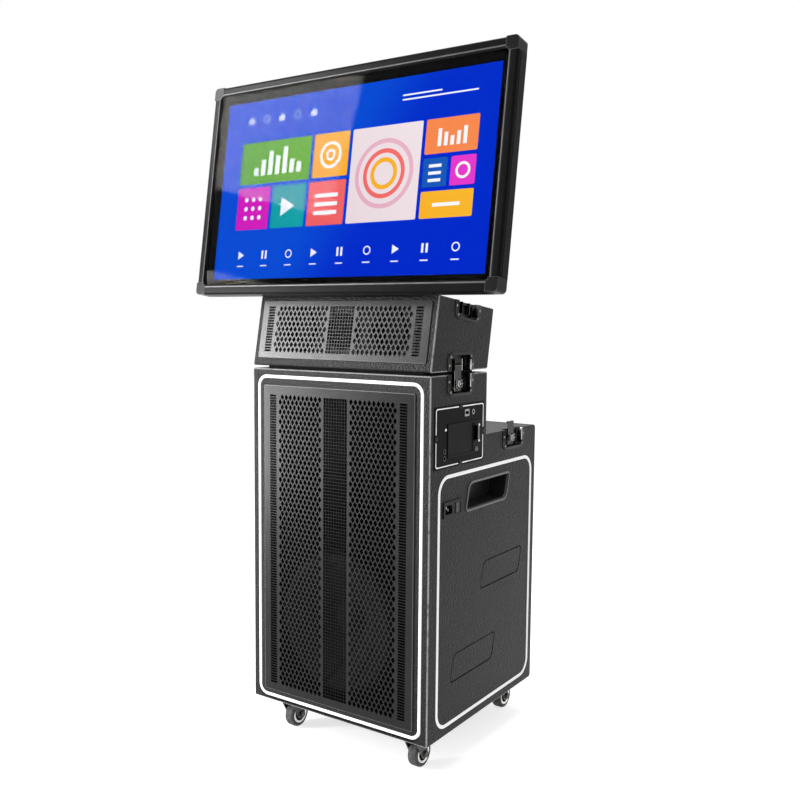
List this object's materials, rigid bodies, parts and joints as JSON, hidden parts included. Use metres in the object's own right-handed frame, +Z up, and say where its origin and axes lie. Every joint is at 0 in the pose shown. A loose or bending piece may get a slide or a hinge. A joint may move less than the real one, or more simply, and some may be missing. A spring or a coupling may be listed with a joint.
{
  "type": "karaoke machine",
  "caption": "Mobile karaoke machine: L-shaped speaker cabinet on swivel casters, latched upper speaker box, tilting touch screen, disk tray and side grips.",
  "frame": {"origin": "on the floor under the middle of the machine's bounding box", "axes": "+Z up, front and screen towards -Y, control panel and mains inlet on the +X side"},
  "size_m": [0.764, 0.4852, 1.4417],
  "materials": {
    "coated_board": "black pebbled coating",
    "inner_board": "bare board",
    "grille_steel": "black powder coat",
    "light_strip": "milky white diffuser",
    "black_metal": "black gloss",
    "latch_steel": "black chrome with bright edges",
    "bright_trim": "polished",
    "screw_steel": "zinc",
    "black_plastic": "fine grain",
    "gloss_plastic": "smooth",
    "frame_aluminium": "black anodised",
    "screen_glass": "polished, black border",
    "display": "lit picture",
    "speaker_paper": "pulp",
    "speaker_metal": "black paint",
    "circuit_metal": "plain sheet",
    "transformer": "wound and varnished",
    "rubber_seal": "matt",
    "wheel_rubber": "dark grey",
    "caster_steel": "black zinc"
  },
  "bodies": {
    "cabinet": {"cabinet_shell": "coated_board", "rear_panel": "coated_board", "case_screws": "screw_steel", "front_baffle": "inner_board", "main_grille": "grille_steel", "front_light_strip": "light_strip", "side_light_strips": "light_strip", "woofer_basket": "speaker_metal", "woofer_cone": "speaker_paper", "horn_flare": "black_plastic", "horn_driver": "speaker_metal", "amplifier_module": "circuit_metal", "power_supply": "transformer", "player_chassis": "circuit_metal", "control_panel": "black_metal", "panel_trim": "bright_trim", "panel_sockets": "gloss_plastic", "inlet_housing": "black_plastic", "pocket_handles": "black_plastic", "side_covers": "coated_board", "latch_dishes": "latch_steel", "latch_keepers": "latch_steel", "seam_seal": "rubber_seal", "upper_box_shell": "coated_board", "upper_grille": "grille_steel", "mid_baskets": "speaker_metal", "mid_cones": "speaker_paper", "upper_tweeter": "speaker_metal", "tilt_pin": "screw_steel", "monitor_stand": "black_metal", "caster_plates": "caster_steel"},
    "monitor": {"monitor_frame": "frame_aluminium", "monitor_corners": "black_plastic", "touch_glass": "screen_glass", "lcd_panel": "display", "monitor_back_cover": "black_metal", "tilt_plate": "black_metal"},
    "caster_front_left": {"caster_fork_front_left": "caster_steel"},
    "wheel_front_left": {"caster_wheel_front_left": "wheel_rubber"},
    "caster_front_right": {"caster_fork_front_right": "caster_steel"},
    "wheel_front_right": {"caster_wheel_front_right": "wheel_rubber"},
    "caster_rear_left": {"caster_fork_rear_left": "caster_steel"},
    "wheel_rear_left": {"caster_wheel_rear_left": "wheel_rubber"},
    "caster_rear_right": {"caster_fork_rear_right": "caster_steel"},
    "wheel_rear_right": {"caster_wheel_rear_right": "wheel_rubber"},
    "wing_join_right": {"latch_wing_join_right": "latch_steel"},
    "hook_join_right": {"latch_hook_join_right": "latch_steel"},
    "wing_join_left": {"latch_wing_join_left": "latch_steel"},
    "hook_join_left": {"latch_hook_join_left": "latch_steel"},
    "wing_deck_right": {"latch_wing_deck_right": "latch_steel"},
    "hook_deck_right": {"latch_hook_deck_right": "latch_steel"},
    "wing_deck_left": {"latch_wing_deck_left": "latch_steel"},
    "hook_deck_left": {"latch_hook_deck_left": "latch_steel"},
    "tray": {"disk_tray": "black_plastic"},
    "button": {"power_button": "gloss_plastic"},
    "rocker": {"power_rocker": "gloss_plastic"}
  },
  "joints": [
    {"name": "monitor_tilt", "type": "hinge", "parent": "cabinet", "child": "monitor", "pos_m": [0, -0.12138, 1.19749], "axis": [-1, 0, 0], "range_deg": [0, 12]},
    {"name": "swivel_front_left", "type": "hinge", "parent": "cabinet", "child": "caster_front_left", "pos_m": [-0.167, -0.16975, 0.07], "axis": [0, 0, 1], "continuous": true},
    {"name": "roll_front_left", "type": "hinge", "parent": "caster_front_left", "child": "wheel_front_left", "pos_m": [-0.167, -0.14775, 0.029], "axis": [1, 0, 0], "continuous": true},
    {"name": "swivel_front_right", "type": "hinge", "parent": "cabinet", "child": "caster_front_right", "pos_m": [0.167, -0.16975, 0.07], "axis": [0, 0, 1], "continuous": true},
    {"name": "roll_front_right", "type": "hinge", "parent": "caster_front_right", "child": "wheel_front_right", "pos_m": [0.167, -0.14775, 0.029], "axis": [1, 0, 0], "continuous": true},
    {"name": "swivel_rear_left", "type": "hinge", "parent": "cabinet", "child": "caster_rear_left", "pos_m": [-0.167, 0.19225, 0.07], "axis": [0, 0, 1], "continuous": true},
    {"name": "roll_rear_left", "type": "hinge", "parent": "caster_rear_left", "child": "wheel_rear_left", "pos_m": [-0.167, 0.21425, 0.029], "axis": [1, 0, 0], "continuous": true},
    {"name": "swivel_rear_right", "type": "hinge", "parent": "cabinet", "child": "caster_rear_right", "pos_m": [0.167, 0.19225, 0.07], "axis": [0, 0, 1], "continuous": true},
    {"name": "roll_rear_right", "type": "hinge", "parent": "caster_rear_right", "child": "wheel_rear_right", "pos_m": [0.167, 0.21425, 0.029], "axis": [1, 0, 0], "continuous": true},
    {"name": "wing_turn_join_right", "type": "hinge", "parent": "cabinet", "child": "wing_join_right", "pos_m": [0.23, -0.10725, 0.799], "axis": [1, 0, 0], "range_deg": [0, 180]},
    {"name": "hook_draw_join_right", "type": "slide", "parent": "cabinet", "child": "hook_join_right", "axis": [0, 0, 1], "range_m": [0, 0.008]},
    {"name": "wing_turn_join_left", "type": "hinge", "parent": "cabinet", "child": "wing_join_left", "pos_m": [-0.23, -0.10725, 0.799], "axis": [-1, 0, 0], "range_deg": [0, 180]},
    {"name": "hook_draw_join_left", "type": "slide", "parent": "cabinet", "child": "hook_join_left", "axis": [0, 0, 1], "range_m": [0, 0.008]},
    {"name": "wing_turn_deck_right", "type": "hinge", "parent": "cabinet", "child": "wing_deck_right", "pos_m": [0.23, 0.12925, 0.666], "axis": [1, 0, 0], "range_deg": [0, 180]},
    {"name": "hook_draw_deck_right", "type": "slide", "parent": "cabinet", "child": "hook_deck_right", "axis": [0, 0, 1], "range_m": [0, 0.008]},
    {"name": "wing_turn_deck_left", "type": "hinge", "parent": "cabinet", "child": "wing_deck_left", "pos_m": [-0.23, 0.12925, 0.666], "axis": [-1, 0, 0], "range_deg": [0, 180]},
    {"name": "hook_draw_deck_left", "type": "slide", "parent": "cabinet", "child": "hook_deck_left", "axis": [0, 0, 1], "range_m": [0, 0.008]},
    {"name": "tray_slide", "type": "slide", "parent": "cabinet", "child": "tray", "axis": [1, 0, 0], "range_m": [0, 0.12]},
    {"name": "button_press", "type": "slide", "parent": "cabinet", "child": "button", "axis": [-1, 0, 0], "range_m": [0, 0.0015], "stiffness_N_per_m": 600},
    {"name": "rocker_tip", "type": "hinge", "parent": "cabinet", "child": "rocker", "pos_m": [0.226, -0.11375, 0.549], "axis": [0, 0, -1], "range_deg": [0, 14]}
  ],
  "couplings": [
    {"joint": "hook_draw_join_right", "follows": "wing_turn_join_right", "m_per_rad": 0.00254},
    {"joint": "hook_draw_join_left", "follows": "wing_turn_join_left", "m_per_rad": 0.00254},
    {"joint": "hook_draw_deck_right", "follows": "wing_turn_deck_right", "m_per_rad": 0.00254},
    {"joint": "hook_draw_deck_left", "follows": "wing_turn_deck_left", "m_per_rad": 0.00254}
  ]
}
